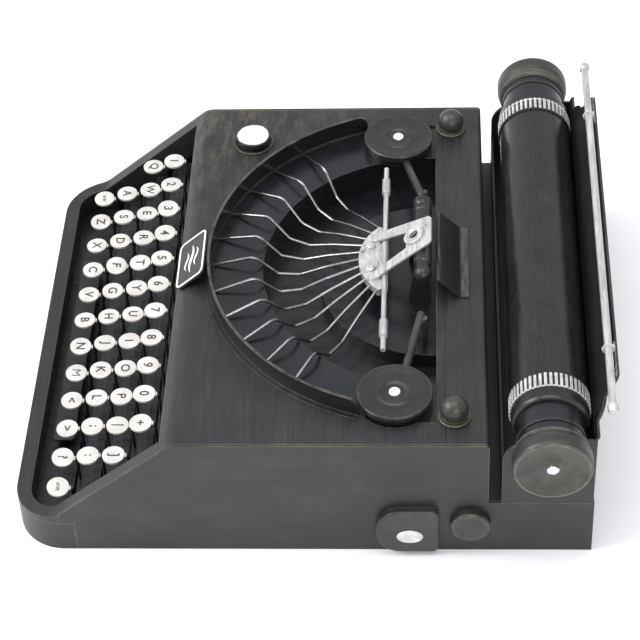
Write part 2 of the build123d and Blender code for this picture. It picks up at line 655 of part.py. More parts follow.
# paper table: plate leaning back, both ends cut back with a concave sweep above the end-plate tabs
TAB_A = 27.3              # lean of the paper table
PR_Y, PR_Z, PR_R = 133.2, 90.7, 1.7
tab_pl = Plane(origin=(0, CAR_Y1 - T, 70.6 + T * sin(radians(TAB_A)) + 0.02), x_dir=(1, 0, 0), z_dir=(0, -cos(radians(TAB_A)), sin(radians(TAB_A))))
with BuildPart() as paper_table:
    with BuildSketch(tab_pl):
        with BuildLine():
            Polyline((-97.6, 9.5), (-95.8, 18.8), (-94.0, 20.7), (94.0, 20.7), (95.8, 18.8), (97.6, 9.5))
            RadiusArc((97.6, 9.5), (105.5, 2.4), 9.5)
            Polyline((105.5, 2.4), (HW, 2.4), (HW, 0), (-HW, 0), (-HW, 2.4), (-105.5, 2.4))
            RadiusArc((-105.5, 2.4), (-97.6, 9.5), 9.5)
        make_face()
    extrude(amount=-T)
    # two lugs on the front of the plate that hold the paper rod
    rod_s = (PR_Y - tab_pl.origin.Y) * sin(radians(TAB_A)) + (PR_Z - tab_pl.origin.Z) * cos(radians(TAB_A))
    rod_n = (PR_Z - tab_pl.origin.Z) * sin(radians(TAB_A)) - (PR_Y - tab_pl.origin.Y) * cos(radians(TAB_A))
    for x in (-80.0, 78.5):
        lug_pl = Plane(origin=(x, tab_pl.origin.Y, tab_pl.origin.Z),
                       x_dir=(0, sin(radians(TAB_A)), cos(radians(TAB_A))), z_dir=(1, 0, 0))
        with BuildSketch(lug_pl):
            with BuildLine():
                Polyline((13.5, 0), (18.0, 5.0), (21.6, 5.2), (22.2, 4.6), (22.2, 1.2), (20.6, 0), close=True)
            make_face()
            with Locations((rod_s, rod_n)):
                Circle(PR_R, mode=Mode.SUBTRACT)
        extrude(amount=1.5)
keep(paper_table, "paper_table")

with BuildPart() as paper_rod:
    with BuildSketch(Plane(origin=(0, PR_Y, PR_Z), x_dir=(1, 0, 0), z_dir=(0, -1, 0))):
        with BuildLine():
            Polyline((-118.0, 0), (-117.4, 1.8), (-116.0, 2.5), (-114.2, 2.5), (-113.2, PR_R), (113.2, PR_R),
                     (114.2, 2.5), (116.0, 2.5), (117.4, 1.8), (118.0, 0), close=True)
        make_face()
    revolve(axis=Axis((0, PR_Y, PR_Z), (1, 0, 0)))
keep(paper_rod, "paper_rod")

# ---------------------------------------------------------------- platen: roller, ribbed rings, end rims, shaft, knobs
with BuildPart() as platen_roller:
    with BuildSketch(Plane.YZ.offset(-97.6)):
        with Locations((PLATEN_Y, PLATEN_Z)):
            Circle(PLATEN_R)
            Circle(PLATEN_R - T, mode=Mode.SUBTRACT)
    extrude(amount=2 * 97.6)
keep(platen_roller, "platen_roller")

N_RIB = 48
with BuildPart() as platen_rings:
    for x in (88.8, -97.6):
        with BuildSketch(Plane.YZ.offset(x)):
            with Locations((PLATEN_Y, PLATEN_Z)):
                Circle(PLATEN_R + 0.25)
                with PolarLocations(PLATEN_R + 0.2, N_RIB):
                    Rectangle(0.9, 1.2)
                Circle(PLATEN_R, mode=Mode.SUBTRACT)
        extrude(amount=8.8)
keep(platen_rings, "platen_rings")

with BuildPart() as platen_rims:
    for x0, x1 in ((97.6, 104.3), (-97.6, -104.3)):
        with BuildSketch(Plane(origin=(0, PLATEN_Y, PLATEN_Z), x_dir=(1, 0, 0), z_dir=(0, -1, 0))):
            with BuildLine():
                s = 1 if x0 > 0 else -1
                Polyline((x0, PLATEN_R - T), (x0, PLATEN_R), (x1 - 1.4 * s, PLATEN_R), (x1 - 0.4 * s, PLATEN_R - 0.5),
                         (x1, PLATEN_R - 1.4), (x1, 4.0), (x1 - T * s, 4.0), (x1 - T * s, PLATEN_R - T - 0.8),
                         (x1 - 1.8 * s, PLATEN_R - T), close=True)
            make_face()
        revolve(axis=Axis((0, PLATEN_Y, PLATEN_Z), (1, 0, 0)))
keep(platen_rims, "platen_rims")

with BuildPart() as platen_shaft:
    with BuildSketch(Plane.YZ.offset(-125)):
        with Locations((PLATEN_Y, PLATEN_Z)):
            Circle(4.0)
    extrude(amount=250)
keep(platen_shaft, "platen_shaft")

with BuildPart() as platen_hubs:
    for x0, x1 in ((104.3, 113.4), (KNOB_X0, 115.4), (-104.3, -113.4), (-KNOB_X0, -115.4)):
        with BuildSketch(Plane(origin=(0, PLATEN_Y, PLATEN_Z), x_dir=(1, 0, 0), z_dir=(0, -1, 0))):
            with BuildLine():
                t = T if x1 > x0 else -T
                Polyline((x0, 14.6 - T), (x0, 14.6), (x1, 14.6), (x1, 4.0), (x1 - t, 4.0), (x1 - t, 14.6 - T),
                         close=True)
            make_face()
        revolve(axis=Axis((0, PLATEN_Y, PLATEN_Z), (1, 0, 0)))
keep(platen_hubs, "platen_hubs")

with BuildPart() as platen_knobs:
    for s in (1, -1):
        with BuildSketch(Plane(origin=(0, PLATEN_Y, PLATEN_Z), x_dir=(1, 0, 0), z_dir=(0, -1, 0))):
            with BuildLine():
                Polyline((s * KNOB_X0, 4.0), (s * KNOB_X0, KNOB_R - 2.2), (s * 119.9, KNOB_R - 0.9),
                         (s * 120.8, KNOB_R - 0.9), (s * 121.4, KNOB_R - 1.6), (s * 122.2, KNOB_R - 0.7),
                         (s * 123.4, KNOB_R - 0.3), (s * 124.2, KNOB_R), (s * 129.4, KNOB_R),
                         (s * 130.6, KNOB_R - 0.5), (s * KNOB_X1, KNOB_R - 1.4), (s * 130.5, KNOB_R - 2.8),
                         (s * 129.6, 11.0), (s * 129.2, 9.4), (s * 128.8, 7.0), (s * 129.3, 3.4),
                         (s * 129.6, 2.9), (s * 130.3, 2.6), (s * 130.6, 0), (s * 125.0, 0), (s * 125.0, 4.0),
                         close=True)
            make_face()
        revolve(axis=Axis((0, PLATEN_Y, PLATEN_Z), (1, 0, 0)))
keep(platen_knobs, "platen_knobs")

# ---------------------------------------------------------------- keys: printed discs, wire stems, row bars and levers
# small hand-assembly tilts of the discs, degrees about X and Y, one pair per key
TILTS = [
    [(0, 0), (2, -3), (-4, 14), (3, 10), (0, 2), (-2, 3), (0, -2), (2, 2), (-3, 3), (0, 4), (4, 5)],
    [(0, 0), (-2, 2), (0, -3), (-3, 2), (2, 6), (0, 5), (-4, -2), (2, 0), (0, 2), (3, 4), (-2, 5), (0, 3)],
    [(0, 4), (2, 2), (-2, 3), (-10, 24), (0, 5), (3, -2), (0, 0), (-3, 8), (2, 2), (0, 5), (4, 6)],
    [(0, 10), (-3, 12), (2, 0), (0, 6), (-2, 3), (2, 2), (-6, 14), (-4, 10), (0, 6), (2, 8), (-8, 18), (-12, 22)],
]


def key_x(n, i):
    return (i - (n - 1) / 2) * PITCH


def key_tops(row):
    n, ky, kz = ROWS[row]
    with BuildPart() as b:
        for i in range(n):
            rx, ry = TILTS[row][i]
            with Locations(Location((key_x(n, i), ky, kz - KEY_T / 2), (rx * 0.5, ry * 0.5, 0))):
                Cylinder(KEY_R, KEY_T)
                # small soldering tab at the rear of the disc
                with Locations((0, KEY_R - 0.1, -0.1)):
                    Box(2.0, 1.6, 0.8)
    return b


def key_levers(row):
    n, ky, kz = ROWS[row]
    fy, fz = FOOT_Y[row], FOOT_Z[row]
    bar_top = fz - 2.2
    ax = ARM_X[row]
    with BuildPart() as stem:
        with BuildLine(Plane.YZ) as path:
            FilletPolyline((ky + 1.0, kz - KEY_T - 0.45), (fy, kz - KEY_T - 0.6), (fy, bar_top + SOLDER), radius=1.2)
        with BuildSketch(Plane(origin=path.line @ 0, z_dir=path.line % 0)):
            Circle(0.7)
        sweep(path=path.line)
    with BuildPart() as b:
        with BuildSketch(Plane.YZ.offset(-105)):
            with Locations((fy, bar_top - 1.2)):
                Rectangle(2.4, 2.4)
        extrude(amount=210)
        for i in range(n):
            with Locations((key_x(n, i), 0, 0)):
                add(stem.part)
        # two lever arms back to the fulcrum rod
        for x in (-ax, ax):
            with BuildSketch(Plane.YZ.offset(x - 0.75)):
                with BuildLine():
                    Polyline((fy + 1.2 + SOLDER, bar_top - 2.4), (fy + 1.2 + SOLDER, bar_top), (FULCRUM_Y, FULCRUM_Z + 2.4),
                             (FULCRUM_Y, FULCRUM_Z - 2.4), close=True)
                make_face()
                with Locations((FULCRUM_Y, FULCRUM_Z)):
                    Circle(3.6)
                    Circle(FULCRUM_R + 0.05, mode=Mode.SUBTRACT)
            extrude(amount=1.5)
            with BuildSketch(Plane.YZ.offset(x - 2.0)):
                with Locations((FULCRUM_Y, FULCRUM_Z)):
                    Circle(3.6)
                    Circle(FULCRUM_R + 0.05, mode=Mode.SUBTRACT)
            extrude(amount=4.0)
    return b


for r in range(4):
    keep(key_tops(r), f"key_tops_row_{r + 1}")
    keep(key_levers(r), f"key_levers_row_{r + 1}")

with BuildPart() as fulcrum_rod:
    with BuildSketch(Plane.YZ.offset(-(HW - T))):
        with Locations((FULCRUM_Y, FULCRUM_Z)):
            Circle(FULCRUM_R)
    extrude(amount=2 * (HW - T))
keep(fulcrum_rod, "fulcrum_rod")

# torsion springs of the key levers, closed coils gripping the fulcrum rod beside each lever hub
with BuildPart() as key_return_springs:
    for ax in ARM_X:
        for s in (-1, 1):
            x0 = s * ax - 2.0 - 3.2 if s > 0 else s * ax + 2.0 + 0.4
            with BuildSketch(Plane.YZ.offset(x0)):
                with Locations((FULCRUM_Y, FULCRUM_Z)):
                    Circle(FULCRUM_R + 0.8)
                    Circle(FULCRUM_R, mode=Mode.SUBTRACT)
            extrude(amount=2.8)
keep(key_return_springs, "key_return_springs")

# ---------------------------------------------------------------- space bar with two guide posts, and its guides
with BuildPart() as space_bar:
    with BuildSketch(Plane.XY.offset(12.3)):
        with Locations((0, -111.85)):
            RectangleRounded(122.0, 9.5, 1.2)
    extrude(amount=1.2)
    with BuildSketch(Plane.XY.offset(4.8)):
        with Locations((45, -111.9), (-45, -111.9)):
            Circle(1.5)
    extrude(amount=8)
keep(space_bar, "space_bar")

with BuildPart() as space_bar_guides:
    with BuildSketch(Plane.XY.offset(1.0)):
        with Locations((45, -111.9), (-45, -111.9)):
            Circle(3.4)
            Circle(1.55, mode=Mode.SUBTRACT)
    extrude(amount=5.5)
keep(space_bar_guides, "space_bar_guides")

if __name__ == "__main__":
    model = Compound(children=[p for _, p in PIECES])
    bb = model.bounding_box()
    print(len(PIECES), "pieces", bb.min, bb.max, bb.size)
    for name, part in PIECES:
        b = part.bounding_box()
        print(f"{name:24s} solids {len(part.solids()):3d} vol {part.volume:10.1f}  "
              f"x {b.min.X:7.1f} {b.max.X:7.1f}  y {b.min.Y:7.1f} {b.max.Y:7.1f}  z {b.min.Z:6.1f} {b.max.Z:6.1f}")
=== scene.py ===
import bpy, bmesh, math
from mathutils import Matrix, Vector


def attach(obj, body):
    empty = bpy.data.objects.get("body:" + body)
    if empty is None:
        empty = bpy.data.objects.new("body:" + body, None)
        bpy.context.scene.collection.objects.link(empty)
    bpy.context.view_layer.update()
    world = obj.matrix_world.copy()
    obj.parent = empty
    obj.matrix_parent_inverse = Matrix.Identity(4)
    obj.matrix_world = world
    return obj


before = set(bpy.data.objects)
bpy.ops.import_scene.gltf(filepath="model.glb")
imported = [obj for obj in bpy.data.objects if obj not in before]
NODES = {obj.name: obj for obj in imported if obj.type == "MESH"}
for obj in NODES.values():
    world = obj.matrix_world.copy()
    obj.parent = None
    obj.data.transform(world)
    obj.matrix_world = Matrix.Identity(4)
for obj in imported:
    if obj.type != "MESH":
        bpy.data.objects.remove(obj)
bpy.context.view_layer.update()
MM = 0.001

# ------------------------------------------------------------------ node helpers
class Tree:
    def __init__(self, name):
        self.mat = bpy.data.materials.new(name)
        self.mat.use_nodes = True
        self.t = self.mat.node_tree
        self.t.nodes.clear()
        self.out = self.t.nodes.new("ShaderNodeOutputMaterial")
        self.bsdf = self.t.nodes.new("ShaderNodeBsdfPrincipled")
        self.t.links.new(self.bsdf.outputs[0], self.out.inputs[0])
        self.obj = self.t.nodes.new("ShaderNodeTexCoord").outputs["Object"]
        sep = self.t.nodes.new("ShaderNodeSeparateXYZ")
        self.t.links.new(self.obj, sep.inputs[0])
        self.x, self.y, self.z = sep.outputs

    def put(self, sock, v):
        if isinstance(v, bpy.types.NodeSocket):
            self.t.links.new(v, sock)
        elif isinstance(v, (tuple, list)) and len(v) == 3 and sock.type == "RGBA":
            sock.default_value = (*v, 1)
        else:
            sock.default_value = v

    def m(self, op, a, b=0.0, c=0.0):
        n = self.t.nodes.new("ShaderNodeMath")
        n.operation = op
        for s, v in zip(n.inputs, (a, b, c)):
            self.put(s, v)
        return n.outputs[0]

    def mix(self, f, a, b):
        n = self.t.nodes.new("ShaderNodeMix")
        n.data_type = "RGBA"
        self.put(n.inputs[0], f)
        self.put(n.inputs[6], a)
        self.put(n.inputs[7], b)
        return n.outputs[2]

    def lerp(self, f, a, b):
        return self.m("MULTIPLY_ADD", f, b - a, a)

    def ramp(self, v, a, b):
        """0 below a, 1 above b"""
        n = self.t.nodes.new("ShaderNodeMapRange")
        n.clamp = True
        n.interpolation_type = "SMOOTHSTEP"
        self.put(n.inputs[0], v)
        n.inputs[1].default_value, n.inputs[2].default_value = min(a, b), max(a, b)
        n.inputs[3].default_value, n.inputs[4].default_value = (0, 1) if b > a else (1, 0)
        return n.outputs[0]

    def noise(self, scale=(1, 1, 1), detail=4.0, rough=0.55, distort=0.0, offset=(0, 0, 0)):
        mp = self.t.nodes.new("ShaderNodeMapping")
        mp.inputs["Scale"].default_value = scale
        mp.inputs["Location"].default_value = offset
        self.t.links.new(self.obj, mp.inputs[0])
        n = self.t.nodes.new("ShaderNodeTexNoise")
        n.inputs["Scale"].default_value = 1.0
        n.inputs["Detail"].default_value = detail
        n.inputs["Roughness"].default_value = rough
        n.inputs["Distortion"].default_value = distort
        self.t.links.new(mp.outputs[0], n.inputs["Vector"])
        return n.outputs[0]

    def bevel(self, radius, samples=5):
        n = self.t.nodes.new("ShaderNodeBevel")
        n.samples = samples
        n.inputs["Radius"].default_value = radius
        return n.outputs[0]

    def edge(self, radius, lo=0.004, hi=0.09):
        g = self.t.nodes.new("ShaderNodeNewGeometry")
        d = self.t.nodes.new("ShaderNodeVectorMath")
        d.operation = "DOT_PRODUCT"
        self.t.links.new(self.bevel(radius), d.inputs[0])
        self.t.links.new(g.outputs["Normal"], d.inputs[1])
        return self.ramp(self.m("SUBTRACT", 1.0, d.outputs["Value"]), lo, hi)

    def bump(self, height, dist, strength=1.0, normal=None):
        n = self.t.nodes.new("ShaderNodeBump")
        n.inputs["Strength"].default_value = strength
        n.inputs["Distance"].default_value = dist
        self.t.links.new(height, n.inputs["Height"])
        if normal is not None:
            self.t.links.new(normal, n.inputs["Normal"])
        self.t.links.new(n.outputs[0], self.bsdf.inputs["Normal"])

    def radius_about(self, axis, a, b):
        """distance from an axis through (a, b), in metres"""
        p, q = {"X": (self.y, self.z), "Z": (self.x, self.y)}[axis]
        dp, dq = self.m("SUBTRACT", p, a), self.m("SUBTRACT", q, b)
        return self.m("SQRT", self.m("ADD", self.m("MULTIPLY", dp, dp), self.m("MULTIPLY", dq, dq)))


BLACK = (0.0085, 0.0086, 0.0095)
BLACK_HI = (0.024, 0.024, 0.0255)
BRONZE = (0.062, 0.053, 0.032)
BRONZE_HI = (0.150, 0.130, 0.090)
SILVER = (0.62, 0.62, 0.61)
WHITE = (0.80, 0.785, 0.74)


def paint(name, streak=(30, 900, 900), hi=0.6, bronze=0.25, wear=0.8, edge_r=0.9, rough=0.42,
          edge_col=BRONZE_HI, extra=None, base=BLACK, base_hi=BLACK_HI, bronze_col=BRONZE, edge_w=0.7):
    """satin charcoal paint: brushed streaks, thin bronze dry-brushing, lighter rubbed edges"""
    s = Tree(name)
    st = s.noise(streak, 5, 0.6)
    fine = s.noise(tuple(v * 2.6 for v in streak), 3, 0.6, offset=(3, 1, 7))
    blot = s.noise((38, 38, 38), 4, 0.6, 0.4)
    speck = s.noise((1500, 1500, 1500), 2, 0.5)
    f = s.m("MULTIPLY", s.ramp(s.m("ADD", s.m("MULTIPLY", st, 0.65), s.m("MULTIPLY", blot, 0.35)), 0.38, 0.66), hi)
    col = s.mix(f, base, base_hi)
    dry = s.m("MULTIPLY", s.ramp(s.m("ADD", s.m("MULTIPLY", fine, 0.5), s.m("MULTIPLY", blot, 0.5)), 0.47, 0.68), bronze)
    col = s.mix(dry, col, bronze_col)
    e = s.m("MULTIPLY", s.edge(edge_r * edge_w * MM), s.m("MULTIPLY", s.ramp(s.m("ADD", s.m("MULTIPLY", fine, 0.5),
            s.m("MULTIPLY", blot, 0.5)), 0.34, 0.58), wear))
    col = s.mix(e, col, edge_col)
    col = s.mix(s.m("MULTIPLY", s.ramp(speck, 0.70, 0.78), 0.35), col, (0.16, 0.155, 0.14))
    h = s.m("ADD", s.m("MULTIPLY", fine, 0.6), s.m("MULTIPLY", speck, 0.4))
    r = s.m("MULTIPLY_ADD", st, 0.22, rough - 0.1)
    met = s.m("MULTIPLY", e, 0.35)
    if extra:
        col, r, h = extra(s, col, r, h)
    s.put(s.bsdf.inputs["Base Color"], col)
    s.put(s.bsdf.inputs["Roughness"], r)
    s.put(s.bsdf.inputs["Metallic"], met)
    s.bump(h, 0.00006, 0.55, s.bevel(0.35 * MM))
    return s.mat


def silver(name, streak=(60, 800, 800), dark=0.35, rough=0.42, base=SILVER, extra=None, metal=0.3):
    """brushed-on silver-white paint with the black ground showing through in streaks and corners"""
    s = Tree(name)
    st = s.noise(streak, 5, 0.65)
    sp = s.noise((900, 900, 900), 3, 0.6, offset=(5, 2, 1))
    col = s.mix(s.ramp(st, 0.35, 0.7), tuple(c * 0.62 for c in base), base)
    show = s.m("MULTIPLY", s.ramp(s.m("ADD", s.m("MULTIPLY", st, 0.4), s.m("MULTIPLY", sp, 0.6)), 0.43, 0.36), dark)
    col = s.mix(show, col, (0.06, 0.058, 0.052))
    e = s.m("MULTIPLY", s.edge(0.5 * MM), 0.5)
    col = s.mix(e, col, (0.78, 0.78, 0.76))
    r = s.m("MULTIPLY_ADD", sp, 0.25, rough - 0.12)
    if extra:
        col, r = extra(s, col, r)
    s.put(s.bsdf.inputs["Base Color"], col)
    s.put(s.bsdf.inputs["Roughness"], r)
    s.bsdf.inputs["Metallic"].default_value = metal
    s.bump(s.m("ADD", st, sp), 0.00007, 0.6, s.bevel(0.25 * MM))
    return s.mat


def steel(name):
    s = Tree(name)
    st = s.noise((40, 1800, 1800), 4, 0.6)
    col = s.mix(st, (0.30, 0.30, 0.29), (0.52, 0.51, 0.49))
    s.put(s.bsdf.inputs["Base Color"], col)
    s.bsdf.inputs["Metallic"].default_value = 1.0
    s.put(s.bsdf.inputs["Roughness"], s.m("MULTIPLY_ADD", st, 0.25, 0.22))
    s.bump(st, 0.00003, 0.5)
    return s.mat


# ------------------------------------------------------------------ masks painted on single nodes
def deck_extra(s, col, r, h):
    # crease behind the basket: a painted shade line that darkens the colour, plus a bump groove; olive dry-brushing
    # towards the far front of the deck
    line = s.ramp(s.m("ABSOLUTE", s.m("SUBTRACT", s.y, 0.0643)), 0.00045, 0.00015)
    top = s.ramp(s.z, 0.0668, 0.0670)
    k = s.m("MULTIPLY", line, top)
    col = s.mix(s.m("MULTIPLY", k, 0.85), col, (0.006, 0.006, 0.006))
    h = s.m("SUBTRACT", h, s.m("MULTIPLY", k, 3.0))
    far = s.m("MULTIPLY", s.ramp(s.m("SUBTRACT", s.m("MULTIPLY", s.x, -1.0), s.m("MULTIPLY", s.y, 0.9)), 0.045, 0.16),
              s.ramp(s.noise((90, 260, 200), 5, 0.65, 0.3), 0.40, 0.66))
    col = s.mix(s.m("MULTIPLY", far, 0.75), col, (0.074, 0.066, 0.044))
    return col, r, h


def ring_extra(s, col, r):
    rad = s.radius_about("X", 0.10845, 0.069)
    ax = s.m("ABSOLUTE", s.x)
    jag = s.m("MULTIPLY", s.m("SUBTRACT", s.noise((900, 260, 260), 3, 0.6), 0.5), 0.0006)
    rib = s.ramp(s.m("ADD", rad, jag), 0.01723, 0.01735)
    inside = s.m("MULTIPLY", s.ramp(s.m("ADD", ax, s.m("MULTIPLY", jag, 2.4)), 0.0899, 0.0903), 1.0)
    line = s.ramp(s.m("ADD", ax, jag), 0.0967, 0.0969)
    paint_on = s.m("MAXIMUM", s.m("MULTIPLY", rib, inside), s.m("MULTIPLY", line, s.ramp(rad, 0.0168, 0.0170)))
    col = s.mix(paint_on, (0.018, 0.018, 0.018), col)
    return col, r


def knob_extra(s, col, r, h):
    rad = s.radius_about("X", 0.10845, 0.069)
    wob = s.m("MULTIPLY", s.m("SUBTRACT", s.noise((300, 420, 420), 3, 0.6), 0.5), 0.0022)
    dot = s.m("MULTIPLY", s.ramp(s.m("ADD", rad, wob), 0.0027, 0.0023), s.ramp(s.m("ABSOLUTE", s.x), 0.1288, 0.1290))
    g = s.t.nodes.new("ShaderNodeNewGeometry")
    sp = s.t.nodes.new("ShaderNodeSeparateXYZ")
    s.t.links.new(g.outputs["Normal"], sp.inputs[0])
    # painted shade: the knob's cylindrical side is painted darker than its end faces, with fine line texture
    side = s.ramp(s.m("ABSOLUTE", sp.outputs[0]), 0.75, 0.35)
    lines = s.ramp(s.noise((2600, 60, 60), 3, 0.6), 0.46, 0.62)
    col = s.mix(s.m("MULTIPLY", side, s.m("MULTIPLY_ADD", lines, -0.35, 0.80)), col, (0.014, 0.014, 0.013))
    col = s.mix(dot, col, (0.74, 0.74, 0.72))
    return col, r, h


def platen_extra(s, col, r, h):
    sp = s.ramp(s.noise((380, 700, 700), 4, 0.7), 0.56, 0.68)
    col = s.mix(s.m("MULTIPLY", sp, 0.22), col, (0.075, 0.065, 0.038))
    return col, r, h


def spool_extra(cx):
    def f(s, col, r, h):
        rad = s.radius_about("Z", cx, 0.0421)
        wob = s.m("MULTIPLY", s.m("SUBTRACT", s.noise((500, 500, 500), 3, 0.6), 0.5), 0.0012)
        dot = s.m("MULTIPLY", s.ramp(s.m("ADD", rad, wob), 0.0027, 0.0024), s.ramp(s.z, 0.0712, 0.0714))
        col = s.mix(dot, col, (0.78, 0.78, 0.76))
        lip = s.m("MULTIPLY", s.ramp(rad, 0.0150, 0.0158), s.ramp(s.noise((200, 200, 200), 4, 0.6), 0.38, 0.62))
        col = s.mix(s.m("MULTIPLY", lip, 0.22), col, (0.10, 0.088, 0.06))
        return col, r, h
    return f


def knob_top_extra(s, col, r, h):
    rad = s.radius_about("Z", -0.0878, -0.0291)
    wob = s.m("MULTIPLY", s.m("SUBTRACT", s.noise((260, 260, 260), 3, 0.6), 0.5), 0.0012)
    cap = s.m("MULTIPLY", s.ramp(s.m("ADD", rad, wob), 0.0078, 0.0075), s.ramp(s.z, 0.0722, 0.0724))
    col = s.mix(cap, col, s.mix(s.noise((120, 700, 700), 4, 0.6), (0.52, 0.52, 0.50), (0.78, 0.78, 0.76)))
    return col, r, h


def band_extra(s, col, r, h):
    n = s.ramp(s.noise((160, 160, 60), 4, 0.6), 0.34, 0.60)
    # painted highlights: a broken lighter line along the foot flange and another along the top edge
    foot_highlight = s.m("MULTIPLY", s.ramp(s.z, 0.0680, 0.0677), n)
    col = s.mix(s.m("MULTIPLY", foot_highlight, 0.22), col, (0.12, 0.11, 0.08))
    top = s.m("MULTIPLY", s.ramp(s.z, 0.0760, 0.0764), n)
    col = s.mix(s.m("MULTIPLY", top, 0.35), col, (0.16, 0.15, 0.12))
    return col, r, h


def shield_extra(s, col, r, h):
    n = s.ramp(s.noise((80, 500, 500), 4, 0.6), 0.36, 0.62)
    top = s.m("MULTIPLY", s.ramp(s.z, 0.0774, 0.0780), n)
    col = s.mix(s.m("MULTIPLY", top, 0.55), col, BRONZE_HI)
    rear = s.m("MULTIPLY", s.ramp(s.y, 0.0712, 0.0716), n)
    col = s.mix(s.m("MULTIPLY", rear, 0.55), col, (0.10, 0.10, 0.10))
    return col, r, h


def table_extra(s, col, r, h):
    # the rod's two lugs carry the rod's silver paint where they wrap it
    rad = s.radius_about("X", 0.1332, 0.0907)
    wob = s.m("MULTIPLY", s.m("SUBTRACT", s.noise((500, 500, 500), 3, 0.6), 0.5), 0.0008)
    lug = s.m("MULTIPLY", s.ramp(s.m("ADD", rad, wob), 0.0034, 0.0031), s.ramp(s.m("ABSOLUTE", s.x), 0.0740, 0.0745))
    col = s.mix(lug, col, (0.50, 0.50, 0.49))
    return col, r, h


OLIVE = (0.045, 0.041, 0.031)
OLIVE_HI = (0.090, 0.082, 0.060)
# these two colours are darker than BLACK: painted shade for recessed wells, platen rims and hubs
PIT_SHADE = (0.0056, 0.0062, 0.0078)
PIT_SHADE_HI = (0.0125, 0.0135, 0.0160)
MATS = {
    "panel": paint("paint_side", (20, 20, 1100), hi=0.60, bronze=0.30, wear=0.85, edge_col=(0.20, 0.175, 0.12)),
    "deck": paint("paint_deck", (26, 800, 800), hi=0.50, bronze=0.22, wear=0.85, extra=deck_extra, edge_col=(0.20, 0.175, 0.12)),
    "frame": paint("paint_frame", (30, 600, 600), hi=0.35, bronze=0.20, wear=0.55),
    # basket well, base plate, spool cups and segment stand: darker base colour painted as the shade in the recesses
    "well": paint("well_painted_shade", (160, 160, 160), hi=0.45, bronze=0.0, wear=0.25, rough=0.25, base=PIT_SHADE, base_hi=PIT_SHADE_HI),
    # key bed under the keys: very dark base colour painted as the shade of the recess
    "keywell": paint("key_well_painted_shade", (700, 60, 200), hi=0.8, bronze=0.0, wear=0.3, rough=0.30, base=(0.0045, 0.0050, 0.0062), base_hi=(0.023, 0.024, 0.027)),
    # guard band: near-black base colour painted as the shade on its inner face; band_extra adds painted highlights
    "band": paint("band_painted_shade_and_highlight", (120, 120, 600), hi=0.25, bronze=0.05, wear=0.5, rough=0.30, base=(0.0050, 0.0053, 0.0062), base_hi=(0.016, 0.016, 0.018), extra=band_extra),
    "carriage": paint("paint_carriage", (30, 500, 800), hi=0.30, bronze=0.15, wear=0.7),
    "table": paint("paint_paper_table", (30, 500, 800), hi=0.30, bronze=0.15, wear=0.7, extra=table_extra),
    "platen": paint("paint_platen", (90, 700, 700), hi=0.45, bronze=0.16, wear=0.2, rough=0.25,
                    base=(0.0052, 0.0055, 0.0064), base_hi=(0.020, 0.020, 0.021), extra=platen_extra),
    "knob": paint("paint_knob", (500, 130, 130), hi=0.8, bronze=0.45, wear=0.9, edge_r=1.3, extra=knob_extra,
                  base=(0.026, 0.024, 0.019), base_hi=(0.066, 0.061, 0.047), bronze_col=(0.085, 0.076, 0.054), edge_col=(0.30, 0.28, 0.23)),
    # platen rims and hubs: the darker recess colours, painted as the shade between platen and knob
    "rim": paint("rim_painted_shade", (300, 120, 120), hi=0.3, bronze=0.12, wear=0.8, rough=0.30, base=PIT_SHADE, base_hi=(0.020, 0.020, 0.021)),
    "hub": paint("hub_painted_shade", (300, 120, 120), hi=0.2, bronze=0.0, wear=0.1, rough=0.30, base=PIT_SHADE, base_hi=PIT_SHADE_HI),
    "bronze": paint("paint_bronzed", (160, 160, 400), hi=0.7, bronze=0.45, wear=0.9, edge_r=1.4,
                    base=(0.017, 0.0165, 0.0145), base_hi=(0.045, 0.042, 0.034), edge_col=(0.17, 0.157, 0.12), rough=0.36),
    "shaft": paint("paint_cross_shaft", (200, 300, 300), hi=0.5, bronze=0.08, wear=0.6, rough=0.30),
    "shield": paint("paint_shield", (40, 500, 500), hi=0.35, bronze=0.10, wear=0.6, rough=0.36, extra=shield_extra),
    "plate": paint("paint_name_plate", (300, 300, 300), hi=0.5, bronze=0.0, wear=0.3, base_hi=(0.05, 0.05, 0.052)),
    "spool_l": paint("paint_spool_left", (140, 140, 300), hi=0.30, bronze=0.08, wear=0.45, rough=0.34, extra=spool_extra(-0.0868)),
    "spool_r": paint("paint_spool_right", (140, 140, 300), hi=0.30, bronze=0.08, wear=0.45, rough=0.34, extra=spool_extra(0.0868)),
    "top_knob": paint("paint_top_knob", (300, 300, 200), hi=0.4, bronze=0.2, wear=0.5, extra=knob_top_extra),
    "lever": paint("paint_levers", (200, 200, 300), hi=0.3, bronze=0.0, wear=0.4, rough=0.34),
    "silver": silver("silver_paint", (90, 500, 700), dark=0.85, metal=0.45),
    "wire": silver("silver_wires", (70, 70, 120), dark=0.45, rough=0.24, metal=0.97, base=(0.34, 0.34, 0.34)),
    "rod": silver("silver_rods", (60, 500, 500), dark=0.25, rough=0.34, metal=0.45),
    "segment": silver("silver_segment", (160, 300, 500), dark=0.9, metal=0.45),
    "ring": silver("silver_ribs", (500, 200, 200), dark=0.45, extra=ring_extra),
    "boss": silver("silver_boss", (200, 200, 200), dark=0.05, rough=0.55, base=(0.78, 0.78, 0.77), metal=0.0),
    "steel": steel("plain_steel"),
}


